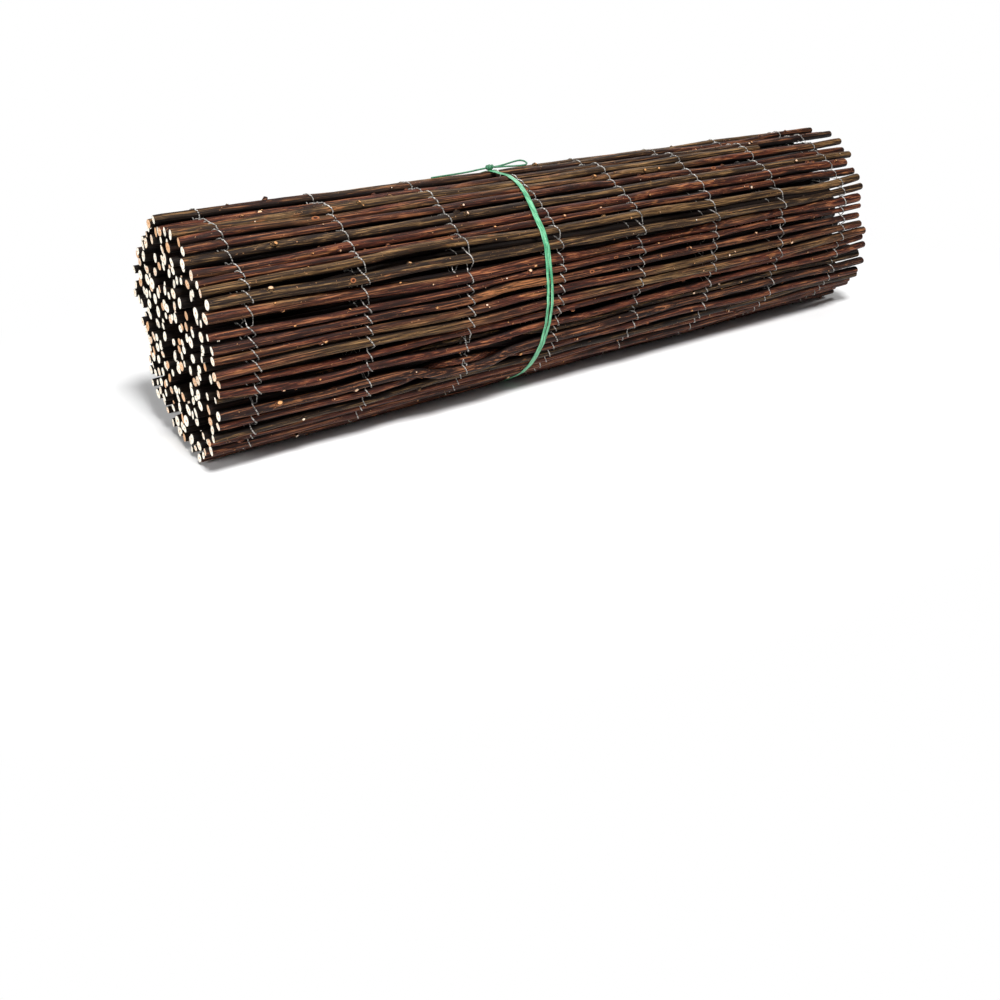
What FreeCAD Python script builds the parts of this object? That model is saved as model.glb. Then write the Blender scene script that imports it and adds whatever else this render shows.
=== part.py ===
"""A tied roll of willow screening.

More than two hundred tapered willow rods lie side by side. Eight rows of paired binding wire
weave over and under them, and the screen is rolled up on itself like a carpet, so that the
rods stand in a spiral when they are seen from the end. A flat green string holds the roll shut.

X runs along the rods, Z is up, and the origin is under the middle of the roll, on the floor.
The spiral is drawn in the plane of the cut ends, in (y, z), before it is set on the floor.
All sizes are in millimetres.
"""

import FreeCAD
import Part
import math
import os
import random

from FreeCAD import Vector

# Willow rods
rod_length = 980.0
rod_count = 232
butt_diameter_min = 7.8
butt_diameter_max = 15.0
butt_diameter_usual = 10.6
tip_share_min = 0.80
tip_share_max = 0.95
rod_gap_min = 1.9
rod_gap_max = 3.3

# How the ends of the rods miss a straight line
near_end_scatter = 4.0
far_end_scatter = 18.0
outer_far_scatter = 8.0
near_recess_chance = 0.08
near_recess_min = 8.0
near_recess_max = 22.0
far_recess_chance = 0.75
far_recess_min = 10.0
far_recess_max = 45.0
short_rod_missing = 150.0
short_rod_angle = math.radians(74.0)

# The far ends lie on a wavy line round the roll: the angle in degrees, 0 on the side that faces -Y
# and 90 on top, and how far past the straight line the ends reach there.
far_end_reaches = [
    (-180.0, 0.0),
    (-60.0, 18.0),
    (-30.0, 16.0),
    (-8.0, 8.0),
    (0.0, -8.0),
    (20.0, -14.0),
    (40.0, -16.0),
    (55.0, -2.0),
    (70.0, 14.0),
    (90.0, 22.0),
    (120.0, 8.0),
    (180.0, 0.0),
]

# How tightly the screen is rolled
core_radius = 15.0
turn_slack_max = 1.6
swing_start = math.radians(-70.0)
swing_end = math.radians(130.0)
swing_step = math.radians(0.5)
random_seed = 11

# Where a turn stands off the one beneath it: how many turns before the screen's outer edge,
# half the length of the place in turns, and how wide it gapes.
loose_places = [
    (0.50, 0.15, 15.0),
    (1.32, 0.10, 14.0),
    (3.70, 0.12, 11.0),
    (4.25, 0.10, 9.0),
]

# The screen's outer edge lies low at the back, 0 being +Y and a quarter turn the top.
outer_edge_angle = math.radians(-38.0)
outer_edge_play = math.radians(16.0)

# Binding wire
wire_size = 1.2
wire_clearance = 0.1
wire_row_count = 8
first_row_inset = 42.0
last_row_inset = 54.0

# String
string_width = 2.8
string_thickness = 1.2
string_strand_gap = 0.4
string_inset = 400.0
string_slant = 0.10
string_diameter = 2.2
knot_angle = math.radians(97.0)
knot_length = 12.0
knot_radius = 4.6
knot_end_radius = 3.2

# A strand passes between rods of neighbouring turns, and so does the strand of the other turn.
wire_room = 2 * wire_size + 4 * wire_clearance
wire_standoff = wire_size + wire_clearance

# The free tail, from the knot's end: along the rods, sideways, and up from the rods' crest.
tail_route = [
    (0.0, 0.0, 4.0),
    (9.0, 0.5, 3.5),
    (20.0, 2.2, 2.3),
    (34.0, 3.4, 1.6),
    (50.0, 2.6, 1.5),
    (65.0, 0.2, 1.6),
    (78.0, -1.2, 1.5),
]

# The bow's loop, from the knot's other end and back to it, on the same terms.
loop_route = [
    (0.0, 1.6, 4.0),
    (8.0, 2.0, 3.9),
    (17.5, 3.6, 3.5),
    (28.0, 5.9, 3.0),
    (37.5, 7.4, 2.4),
    (44.5, 7.5, 2.0),
    (48.9, 3.1, 1.8),
    (48.9, -3.1, 1.8),
    (44.5, -7.5, 2.0),
    (37.5, -7.2, 2.4),
    (28.0, -5.5, 3.0),
    (17.5, -3.4, 3.5),
    (8.0, -1.9, 3.9),
    (0.0, -1.6, 4.0),
]


class Rod:
    """One willow rod: its place in the spiral, its radius at both ends and where it is cut."""

    def __init__(self, butt_radius, tip_radius, butt_is_near):
        self.near_radius = butt_radius if butt_is_near else tip_radius
        self.far_radius = tip_radius if butt_is_near else butt_radius
        self.near_x = -rod_length / 2
        self.far_x = rod_length / 2
        self.y = 0.0
        self.z = 0.0
        self.winding = 0.0

    def radius_at(self, x):
        share = (x - self.near_x) / (self.far_x - self.near_x)
        return self.near_radius + share * (self.far_radius - self.near_radius)

    def reach_to(self, other):
        """How far apart the middles of two rods have to be for the rods just to touch."""
        return max(self.near_radius + other.near_radius, self.far_radius + other.far_radius)


def grow_rods(chance):
    """The rods in the order that they are wired, with nothing placed yet."""
    rods = []
    for _ in range(rod_count):
        butt = chance.triangular(butt_diameter_min, butt_diameter_max, butt_diameter_usual) / 2
        tip = butt * chance.uniform(tip_share_min, tip_share_max)
        rods.append(Rod(butt, tip, chance.random() < 0.5))
    return rods


def angle_difference(a, b):
    """The turn from b to a, taken the short way round."""
    return (a - b + math.pi) % (2 * math.pi) - math.pi


def slack_at(winding, last_winding, chance):
    """How far a rod stays off the turn beneath it."""
    slack = chance.uniform(0.0, turn_slack_max)
    turns_to_edge = (last_winding - winding) / (2 * math.pi)
    for place, half_length, gape in loose_places:
        off_middle = (turns_to_edge - place) / half_length
        if abs(off_middle) < 1:
            slack += gape * (1 - off_middle**2)
    return slack


def swing_in(rods, index, gap, slack):
    """Swings a rod about the one before it, inwards, until it meets a rod of the turn beneath."""
    rod = rods[index]
    last = rods[index - 1]
    reach = last.reach_to(rod) + gap
    tangent = math.atan2(last.z, last.y) + math.pi / 2
    placed = None
    for n in range(round((swing_end - swing_start) / swing_step)):
        heading = tangent + swing_start + n * swing_step
        y = last.y + reach * math.cos(heading)
        z = last.z + reach * math.sin(heading)
        meets = math.hypot(y, z) < core_radius
        for other in rods[: index - 1]:
            is_beneath = last.winding - other.winding > math.pi
            room = wire_room + slack if is_beneath else rod_gap_min
            meets = meets or math.hypot(y - other.y, z - other.z) < rod.reach_to(other) + room
        if meets and placed:
            break
        if not meets:
            placed = (y, z)
    rod.y, rod.z = placed
    turned = angle_difference(math.atan2(rod.z, rod.y), math.atan2(last.z, last.y))
    rod.winding = last.winding + turned


def roll_up(rods, last_winding):
    """Lays the rods in a spiral, from the heart of the roll outwards, and says where it ends."""
    chance = random.Random(random_seed)
    rods[0].y = core_radius
    for index in range(1, rod_count):
        gap = chance.uniform(rod_gap_min, rod_gap_max)
        slack = slack_at(rods[index - 1].winding, last_winding, chance)
        swing_in(rods, index, gap, slack)
    return rods[-1].winding


def far_reach(rod):
    """How far past the straight line the far ends reach at the rod's place round the roll."""
    angle = math.degrees(seen_angle(rod))
    for (start, start_reach), (end, end_reach) in zip(far_end_reaches, far_end_reaches[1:]):
        if start <= angle <= end:
            return start_reach + (end_reach - start_reach) * (angle - start) / (end - start)


def cut_ends(rods, chance):
    """The cut ends are ragged, and some rods inside the roll stop well short of the rest."""
    outer = rods[-1].winding - 2 * math.pi
    for rod in rods:
        rod.near_x += chance.uniform(-near_end_scatter, near_end_scatter)
        scatter = far_end_scatter if rod.winding < outer else outer_far_scatter
        rod.far_x += far_reach(rod) + chance.uniform(-scatter, scatter)
        if rod.winding < outer and chance.random() < near_recess_chance:
            rod.near_x += chance.uniform(near_recess_min, near_recess_max)
        if rod.winding < outer and chance.random() < far_recess_chance:
            rod.far_x -= chance.uniform(far_recess_min, far_recess_max)


def shorten_one_rod(rods):
    """One rod of the outer turn, on top of the roll, is broken off short of the far end."""
    outer = [rod for rod in rods if rod.winding > rods[-1].winding - 2 * math.pi]
    short = min(outer, key=lambda rod: abs(angle_difference(seen_angle(rod), short_rod_angle)))
    broken_x = rod_length / 2 - short_rod_missing
    short.far_radius = short.radius_at(broken_x)
    short.far_x = broken_x


def seen_angle(rod):
    """The rod's place round the roll: 0 on the side that faces -Y, and a quarter turn on top."""
    return math.atan2(rod.z, -rod.y)


def hull_of(circles):
    """The circles that a tight string round them all touches, anticlockwise, each with the
    angle at which the string arrives on it and leaves it."""
    start = min(range(len(circles)), key=lambda i: circles[i][1] - circles[i][2])
    visited = []
    current = start
    heading = 0.0
    while True:
        y, z, radius = circles[current]
        best = None
        for i, (other_y, other_z, other_radius) in enumerate(circles):
            if i == current:
                continue
            away = math.hypot(other_y - y, other_z - z)
            towards = math.atan2(other_z - z, other_y - y)
            lean = math.acos((radius - other_radius) / away)
            turn = (towards - lean + math.pi / 2 - heading) % (2 * math.pi)
            if best is None or turn < best[0]:
                best = (turn, i)
        arrive = heading - math.pi / 2
        heading += best[0]
        visited.append((current, arrive, heading - math.pi / 2))
        current = best[1]
        if current == start:
            break
    first = visited[0]
    visited[0] = (first[0], heading - math.pi / 2 - 2 * math.pi, first[2])
    return visited


def settle_on_floor(rods):
    """Turns the spiral so that its outer edge is at the back and the roll rests on two rods, with
    its weight between them."""
    circles = [(rod.y, rod.z, (rod.near_radius + rod.far_radius) / 2 + wire_standoff) for rod in rods]
    weight = sum(circle[2] ** 2 for circle in circles)
    middle_y = sum(circle[0] * circle[2] ** 2 for circle in circles) / weight
    middle_z = sum(circle[1] * circle[2] ** 2 for circle in circles) / weight
    hull = hull_of(circles)
    best = None
    for place, (index, _, leave) in enumerate(hull):
        next_index = hull[(place + 1) % len(hull)][0]
        along = leave + math.pi / 2
        offsets = []
        for i in (index, next_index):
            dy = circles[i][0] - middle_y
            dz = circles[i][1] - middle_z
            offsets.append(dy * math.cos(along) + dz * math.sin(along))
        margin = min(-offsets[0], offsets[1])
        edge_angle = math.atan2(rods[-1].z, rods[-1].y) - math.pi / 2 - leave
        if abs(angle_difference(edge_angle, outer_edge_angle)) < outer_edge_play:
            if best is None or margin > best[0]:
                best = (margin, leave)
    turn = -math.pi / 2 - best[1]
    print(f"weight lies {best[0]:.1f} inside the two rods that the roll rests on")
    for rod in rods:
        y, z = rod.y, rod.z
        rod.y = y * math.cos(turn) - z * math.sin(turn)
        rod.z = y * math.sin(turn) + z * math.cos(turn)


def centre_on_outline(rods):
    """Moves the spiral so that the middle of the roll's outline, not its heart, is at 0."""
    radii = [max(rod.near_radius, rod.far_radius) for rod in rods]
    lows_y = min(rod.y - radius for rod, radius in zip(rods, radii))
    highs_y = max(rod.y + radius for rod, radius in zip(rods, radii))
    lows_z = min(rod.z - radius for rod, radius in zip(rods, radii))
    highs_z = max(rod.z + radius for rod, radius in zip(rods, radii))
    for rod in rods:
        rod.y -= (lows_y + highs_y) / 2
        rod.z -= (lows_z + highs_z) / 2


def rod_solid(rod):
    """A tapered rod, cut square at both ends."""
    base = Vector(rod.near_x, rod.y, rod.z)
    length = rod.far_x - rod.near_x
    return Part.makeCone(rod.near_radius, rod.far_radius, length, base, Vector(1, 0, 0))


def point(x, y, z, angle, radius):
    """A point on a circle round (y, z), in the plane at x."""
    return Vector(x, y + radius * math.cos(angle), z + radius * math.sin(angle))


def arc_edge(x, y, z, radius, start, sweep):
    """An arc in the plane of one row, which turns by sweep from the angle start."""
    return Part.Arc(
        point(x, y, z, start, radius),
        point(x, y, z, start + sweep / 2, radius),
        point(x, y, z, start + sweep, radius),
    ).toShape()


def weave(circles, first_side):
    """How one strand runs: for each rod, the side it takes (1 outside, -1 inside) and the angles
    at which it meets the rod's circle and leaves it. The circles already hold the strand's
    middle line, so the strand crosses from one to the next on their inner tangent."""
    leaves = []
    for i in range(len(circles) - 1):
        side = first_side if i % 2 == 0 else -first_side
        y, z, radius = circles[i]
        next_y, next_z, next_radius = circles[i + 1]
        towards = math.atan2(next_z - z, next_y - y)
        lean = math.acos((radius + next_radius) / math.hypot(next_y - y, next_z - z))
        leaves.append(towards - side * lean)
    passes = []
    for i in range(len(circles)):
        side = first_side if i % 2 == 0 else -first_side
        arrive = leaves[i - 1] + math.pi if i else leaves[0] - side * math.pi / 2
        leave = leaves[i] if i < len(leaves) else arrive + side * math.pi / 2
        sweep = side * ((side * (leave - arrive)) % (2 * math.pi))
        passes.append((side, arrive, sweep))
    return passes


def strand_edge_line(x, circles, passes, offset):
    """One long edge of a strand, at a signed offset to the right of its middle line."""
    edges = []
    end = None
    for (y, z, radius), (side, arrive, sweep) in zip(circles, passes):
        edge_radius = radius + side * offset
        begin = point(x, y, z, arrive, edge_radius)
        if end is not None:
            edges.append(Part.LineSegment(end, begin).toShape())
        edges.append(arc_edge(x, y, z, edge_radius, arrive, sweep))
        end = point(x, y, z, arrive + sweep, edge_radius)
    first = point(x, *circles[0][:2], passes[0][1], circles[0][2] + passes[0][0] * offset)
    return edges, first, end


def wire_strand(rods, x, first_side):
    """One strand of binding wire of a row, which passes outside one rod and inside the next."""
    middle = wire_clearance + wire_size / 2
    row_x = x + first_side * middle
    circles = [(rod.y, rod.z, rod.radius_at(x) + middle) for rod in rods]
    passes = weave(circles, first_side)
    face_x = row_x - wire_size / 2
    right, right_start, right_end = strand_edge_line(face_x, circles, passes, wire_size / 2)
    left, left_start, left_end = strand_edge_line(face_x, circles, passes, -wire_size / 2)
    caps = [
        Part.LineSegment(right_end, left_end).toShape(),
        Part.LineSegment(left_start, right_start).toShape(),
    ]
    outline = Part.Wire(Part.__sortEdges__(right + left + caps))
    return Part.Face(outline).extrude(Vector(wire_size, 0, 0))


def hull_outline(x, circles, extra):
    """The line of a tight string round the circles, which stands off them by extra."""
    hull = hull_of(circles)
    edges = []
    for place, (index, arrive, leave) in enumerate(hull):
        y, z, radius = circles[index]
        edges.append(arc_edge(x, y, z, radius + extra, arrive, (leave - arrive) % (2 * math.pi)))
        next_y, next_z, next_radius = circles[hull[(place + 1) % len(hull)][0]]
        begin = point(x, y, z, leave, radius + extra)
        end = point(x, next_y, next_z, leave, next_radius + extra)
        edges.append(Part.LineSegment(begin, end).toShape())
    return Part.Wire(edges)


def string_band(rods, x):
    """One flat turn of the string, pulled tight round the outermost rods."""
    circles = [(rod.y, rod.z, rod.radius_at(x) + wire_clearance) for rod in rods]
    outside = Part.Face(hull_outline(x, circles, string_thickness))
    inside = Part.Face(hull_outline(x, circles, 0.0))
    return outside.cut(inside).extrude(Vector(string_width, 0, 0))


def slanted(shape):
    """Leans the string's turns, which cross the top of the roll further along than its foot."""
    slant = FreeCAD.Matrix()
    slant.A13 = string_slant
    return shape.transformGeometry(slant)


def knot_place(rods, string_x):
    """The knot's middle. The knot lies across both strands, over the crest of one rod."""
    away = Vector(0, -math.cos(knot_angle), math.sin(knot_angle))
    crests = [(rod.y * away.y + rod.z * away.z + rod.radius_at(string_x), rod) for rod in rods]
    rod = max(crests, key=lambda crest: crest[0])[1]
    place = Vector(0, rod.y, rod.z) + away * (rod.radius_at(string_x) + wire_clearance + knot_radius)
    return place + Vector(string_x + string_slant * place.z, 0, 0)


def knot_solid(place):
    """The knot: a barrel that tapers to a flat face at each end, with its axis along the rods."""
    half = knot_length / 2
    profile = [
        Part.LineSegment(Vector(-half, 0, 0), Vector(-half, knot_end_radius, 0)).toShape(),
        Part.Arc(
            Vector(-half, knot_end_radius, 0), Vector(0, knot_radius, 0), Vector(half, knot_end_radius, 0)
        ).toShape(),
        Part.LineSegment(Vector(half, knot_end_radius, 0), Vector(half, 0, 0)).toShape(),
        Part.LineSegment(Vector(half, 0, 0), Vector(-half, 0, 0)).toShape(),
    ]
    knot = Part.Face(Part.Wire(profile)).revolve(Vector(0, 0, 0), Vector(1, 0, 0), 360)
    knot.translate(place)
    return knot


def lay_route(place, route, direction):
    """Turns a route's offsets into points that follow the crest of the roll from the knot."""
    outward = Vector(0, -math.cos(knot_angle), math.sin(knot_angle))
    sideways = Vector(0, math.sin(knot_angle), math.cos(knot_angle))
    knot_height = wire_clearance + knot_radius
    points = []
    for along, side, height in route:
        x = Vector(direction * (knot_length / 2 + along), 0, 0)
        points.append(place + x + sideways * side + outward * (height - knot_height))
    return points


def route_wire(points):
    """Straight runs joined by tangent arcs, each as large as its two runs allow."""
    edges = []
    radii = []
    begin = points[0]
    for before, corner, after in zip(points, points[1:], points[2:]):
        back = (before - corner).normalize()
        ahead = (after - corner).normalize()
        turn = math.pi - back.getAngle(ahead)
        shorter = min((before - corner).Length, (after - corner).Length)
        cut = 0.45 * shorter
        radius = cut / math.tan(turn / 2)
        inward = (back + ahead).normalize()
        middle = corner + inward * (radius / math.cos(turn / 2) - radius)
        edges.append(Part.LineSegment(begin, corner + back * cut).toShape())
        edges.append(Part.Arc(corner + back * cut, middle, corner + ahead * cut).toShape())
        radii.append(radius)
        begin = corner + ahead * cut
    edges.append(Part.LineSegment(begin, points[-1]).toShape())
    return Part.Wire(edges), radii


def string_tube(points, name):
    """A free stretch of the string as a plain tube along its route."""
    wire, radii = route_wire(points)
    direction = (points[1] - points[0]).normalize()
    section = Part.Wire(Part.makeCircle(string_diameter / 2, points[0], direction))
    tube = wire.makePipeShell([section], True, True, 0)
    expected = math.pi * string_diameter**2 / 4 * wire.Length
    smallest = min(radii)
    print(f"{name}: length {wire.Length:.1f}, smallest radius {smallest:.1f}")
    print(f"{name}: volume over section times length {tube.Volume / expected:.4f}")
    return tube


def main():
    chance = random.Random(random_seed)
    rods = grow_rods(chance)
    last_winding = roll_up(rods, 0.0)
    for _ in range(3):
        last_winding = roll_up(rods, last_winding)
    settle_on_floor(rods)
    centre_on_outline(rods)
    cut_ends(rods, chance)
    shorten_one_rod(rods)

    parts = {}
    for rod in rods:
        turn_number = int(rod.winding // (2 * math.pi)) + 1
        parts.setdefault(f"rods_turn_{turn_number}", []).append(rod_solid(rod))

    row_spacing = (rod_length - first_row_inset - last_row_inset) / (wire_row_count - 1)
    for row in range(wire_row_count):
        x = -rod_length / 2 + first_row_inset + row * row_spacing
        parts[f"binding_wire_{row + 1}_a"] = [wire_strand(rods, x, 1)]
        parts[f"binding_wire_{row + 1}_b"] = [wire_strand(rods, x, -1)]

    string_x = -rod_length / 2 + string_inset
    left_band = string_band(rods, string_x - string_strand_gap / 2 - string_width)
    right_band = string_band(rods, string_x + string_strand_gap / 2)
    place = knot_place(rods, string_x)
    bands = [slanted(left_band), slanted(right_band)]
    parts["tie_string"] = [knot_solid(place).fuse(bands)]
    tail = lay_route(place, tail_route, -1)
    loop = lay_route(place, loop_route, 1)
    parts["tie_tail"] = [string_tube(tail, "tie_tail")]
    parts["tie_loop"] = [string_tube(loop, "tie_loop")]

    whole = Part.makeCompound([solid for solids in parts.values() for solid in solids])
    box = whole.optimalBoundingBox(False, False)
    to_origin = Vector(-(box.XMin + box.XMax) / 2, -(box.YMin + box.YMax) / 2, -box.ZMin)
    print(f"moved to the origin by {to_origin}")
    print(f"size {box.XLength:.1f} x {box.YLength:.1f} x {box.ZLength:.1f}")
    print(f"knot {place + to_origin}")
    print(f"rod at the screen's outer edge {Vector(0, rods[-1].y, rods[-1].z) + to_origin}")

    os.makedirs("parts", exist_ok=True)
    for name, solids in parts.items():
        shape = solids[0] if len(solids) == 1 else Part.makeCompound(solids)
        shape.translate(to_origin)
        shape.exportStep(f"parts/{name}.step")
        print(f"{name}: {len(shape.Solids)} solids, {shape.Volume / 1000:.1f} cm3, valid {shape.isValid()}")


main()
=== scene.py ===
# %% [markdown]
# # A roll of willow screening
#
# Willow screening is a long row of thin willow rods, held side by side by rows of twisted wire.
# Garden centres keep it rolled up and tied with string, and that is what this lesson dresses.
#
# The construction already exists as a CAD model: straight tapered rods, square wires, a band of
# string. Here the rods get their bends, buds and bark, the wires get round and twisted, and the
# string gets its knot. Nothing moves and nothing changes size.

# %% Load the frame
import math

import bmesh
import bpy
import numpy as np
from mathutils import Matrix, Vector


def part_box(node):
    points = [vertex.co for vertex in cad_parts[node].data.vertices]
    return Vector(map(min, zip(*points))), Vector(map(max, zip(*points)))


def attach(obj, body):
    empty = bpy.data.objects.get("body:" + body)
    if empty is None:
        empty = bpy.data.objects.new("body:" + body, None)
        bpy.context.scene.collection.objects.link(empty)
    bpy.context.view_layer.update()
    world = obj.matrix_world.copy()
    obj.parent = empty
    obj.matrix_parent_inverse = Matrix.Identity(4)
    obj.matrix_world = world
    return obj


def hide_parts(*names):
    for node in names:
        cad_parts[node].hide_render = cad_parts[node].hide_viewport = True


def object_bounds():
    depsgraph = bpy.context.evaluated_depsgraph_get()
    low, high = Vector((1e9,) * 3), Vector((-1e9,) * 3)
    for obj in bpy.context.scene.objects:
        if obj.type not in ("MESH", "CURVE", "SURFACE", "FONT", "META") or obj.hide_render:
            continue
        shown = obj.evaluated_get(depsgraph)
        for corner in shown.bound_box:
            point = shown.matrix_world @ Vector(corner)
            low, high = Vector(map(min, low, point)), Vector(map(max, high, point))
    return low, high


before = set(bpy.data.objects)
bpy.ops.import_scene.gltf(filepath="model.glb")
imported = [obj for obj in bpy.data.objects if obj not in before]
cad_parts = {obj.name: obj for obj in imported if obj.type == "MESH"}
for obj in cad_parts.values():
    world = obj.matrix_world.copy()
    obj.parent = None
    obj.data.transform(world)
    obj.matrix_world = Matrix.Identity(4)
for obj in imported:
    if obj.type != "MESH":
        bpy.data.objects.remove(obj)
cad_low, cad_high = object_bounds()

print("CAD box from", [round(c, 4) for c in cad_low], "to", [round(c, 4) for c in cad_high])

# %% [markdown]
# ## Camera, light and floor
#
# The camera was matched to the wire rows and to both ends of the roll: it looks down at the roll
# from its left, from a little over a metre away. The roll is in the upper part of the picture, so
# the lens is shifted, as a photographer would do it to keep upright things upright. The light is
# soft: a strong lamp above and in front lights the tops of the rods, a weaker one the near end,
# and a third the back.

# %% Place the camera
first_wire_row_x = (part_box("binding_wire_1_a")[0].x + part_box("binding_wire_1_b")[1].x) / 2
axis_height = 0.1269
camera_offset = Vector((-0.363, -1.054, 0.384))
camera_turn = math.radians(34.93)
camera_tilt = math.radians(20.77)
camera_lens = 38.5
camera_shift = -0.15

camera_data = bpy.data.cameras.new("camera")
camera_data.lens = camera_lens
camera_data.sensor_width = 36.0
camera_data.shift_y = camera_shift
camera_data.clip_start = 0.05
camera = bpy.data.objects.new("camera", camera_data)
bpy.context.scene.collection.objects.link(camera)
camera.location = Vector((first_wire_row_x, 0.0, axis_height)) + camera_offset
camera.rotation_euler = (math.pi / 2 - camera_tilt, 0.0, -camera_turn)
bpy.context.scene.camera = camera
print("camera at", [round(c, 3) for c in camera.location])

# %% [markdown]
# ## The ends of the string
#
# The string's long end lies along the top of the roll, and on the other side of the knot the bow's
# one loop goes out and comes back, with its far side standing up a little. Each is one smooth line,
# with its points given in millimetres by their way along the roll, their way sideways, and their
# height over the top rod, all counted from the knot.

# %% Lay the tail and the loop
knot_place = Vector((-0.09104, 0.01937, 0.25658))
knot_turn = 97
knot_reach = 0.006
knot_height = 0.0047
string_diameter = 0.0022
cord_steps = 8
cord_roundness = 2
tail_route = [
    (0.0, 0.0, 4.0),
    (9.0, 0.5, 3.5),
    (20.0, 2.2, 2.3),
    (34.0, 3.4, 1.6),
    (50.0, 2.6, 1.5),
    (65.0, 0.2, 1.6),
    (78.0, -1.2, 1.5),
]
loop_route = [
    (0.0, 1.6, 4.0),
    (8.0, 1.9, 4.3),
    (17.5, 3.0, 5.0),
    (28.0, 4.8, 6.2),
    (37.5, 6.4, 7.2),
    (44.5, 6.6, 7.6),
    (48.6, 2.8, 6.4),
    (48.6, -2.8, 4.0),
    (44.5, -6.6, 2.5),
    (37.5, -6.4, 2.2),
    (28.0, -4.8, 2.6),
    (17.5, -3.0, 3.2),
    (8.0, -1.9, 3.7),
    (0.0, -1.6, 4.0),
]


def place_on_roll(route, direction):
    """The route's points in the roll's own frame."""
    lean = math.radians(knot_turn)
    sideways = Vector((0.0, math.sin(lean), math.cos(lean)))
    up = Vector((0.0, -math.cos(lean), math.sin(lean)))
    placed = []
    for step in route:
        reach, side, height = [millimetres / 1000 for millimetres in step]
        point = knot_place + sideways * side + up * (height - knot_height)
        point.x += direction * (knot_reach + reach)
        placed.append(point)
    return placed


def start_curve(name, kind, points):
    """A curve with these points and no thickness yet, and its spline."""
    curve = bpy.data.curves.new(name, "CURVE")
    curve.dimensions = "3D"
    spline = curve.splines.new(kind)
    spline.points.add(len(points) - 1)
    for corner, point in zip(spline.points, points):
        corner.co = (*point, 1.0)
    line = bpy.data.objects.new(name, curve)
    bpy.context.scene.collection.objects.link(line)
    return line, spline


def make_tube(line, radius, roundness):
    """Gives a curve a round section and closed ends, and makes it a mesh."""
    line.data.bevel_depth = radius
    line.data.bevel_resolution = roundness
    line.data.use_fill_caps = True
    bpy.ops.object.select_all(action="DESELECT")
    line.select_set(True)
    bpy.context.view_layer.objects.active = line
    bpy.ops.object.convert(target="MESH")
    return bpy.context.object


def add_cord(name, points, radius):
    """A tube along a smooth curve with the points as its control points, and its centre line."""
    line, spline = start_curve(name, "NURBS", points)
    line.data.resolution_u = cord_steps
    spline.order_u = 3
    spline.use_endpoint_u = True
    centre_line = bpy.data.meshes.new_from_object(line)
    path = [tuple(corner.co) for corner in centre_line.vertices]
    cord = make_tube(line, radius, cord_roundness)
    bpy.ops.object.shade_smooth()
    return cord, path


def declare_cord(name, node, route, direction, length):
    points = place_on_roll(route, direction)
    cord, path = add_cord(name, points, string_diameter / 2)
    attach(cord, "root")
    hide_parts(node)
    print(name, "follows", len(points), "control points for", length * 1000, "mm")
    return cord


tail = declare_cord("string_tail", "tie_tail", tail_route, -1, 0.0785)
loop = declare_cord("string_loop", "tie_loop", loop_route, 1, 0.1075)

# %% Light it softly
bpy.context.scene.view_settings.view_transform = "Standard"


def add_area_light(name, place, target, size, power):
    """A square soft box that faces the target."""
    data = bpy.data.lights.new(name, "AREA")
    data.size = size
    data.energy = power
    lamp = bpy.data.objects.new(name, data)
    bpy.context.scene.collection.objects.link(lamp)
    lamp.location = place
    lamp.rotation_euler = (Vector(target) - Vector(place)).to_track_quat("-Z", "Y").to_euler()


add_area_light("key", (-0.5, -1.4, 2.4), (0.0, 0.0, 0.1), 0.6, 104.0)
add_area_light("fill", (-2.6, -0.7, 0.9), (-0.4, 0.0, 0.1), 0.9, 34.0)
add_area_light("rim", (1.6, 1.4, 1.9), (0.1, 0.0, 0.1), 0.9, 26.0)
print("three soft lamps")

# %% [markdown]
# ## Writing shaders as sums
#
# A shader is a graph of nodes, but most of what it says is arithmetic. The class below wraps a
# socket, so that `1 - mask * 0.5` adds the Math nodes by itself. Everything that isn't arithmetic
# on plain values comes from one method, `node`.

# %% A socket that can be calculated with


class Value:
    """One output socket of a material, with the usual operators."""

    def __init__(self, shader, socket):
        self.shader = shader
        self.socket = socket

    def math(self, operation, other):
        return self.shader.node("ShaderNodeMath", {"operation": operation}, {0: self, 1: other})

    def __add__(self, other):
        return self.math("ADD", other)

    __radd__ = __add__

    def __sub__(self, other):
        return self.math("SUBTRACT", other)

    def __rsub__(self, other):
        return self.math("MULTIPLY", -1.0).math("ADD", other)

    def __mul__(self, other):
        return self.math("MULTIPLY", other)

    def smooth(self, low, high):
        """0 below low, 1 above high, and a smooth step between."""
        settings = {"interpolation_type": "SMOOTHSTEP"}
        return self.shader.node("ShaderNodeMapRange", settings, {0: self, 1: low, 2: high})


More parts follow.
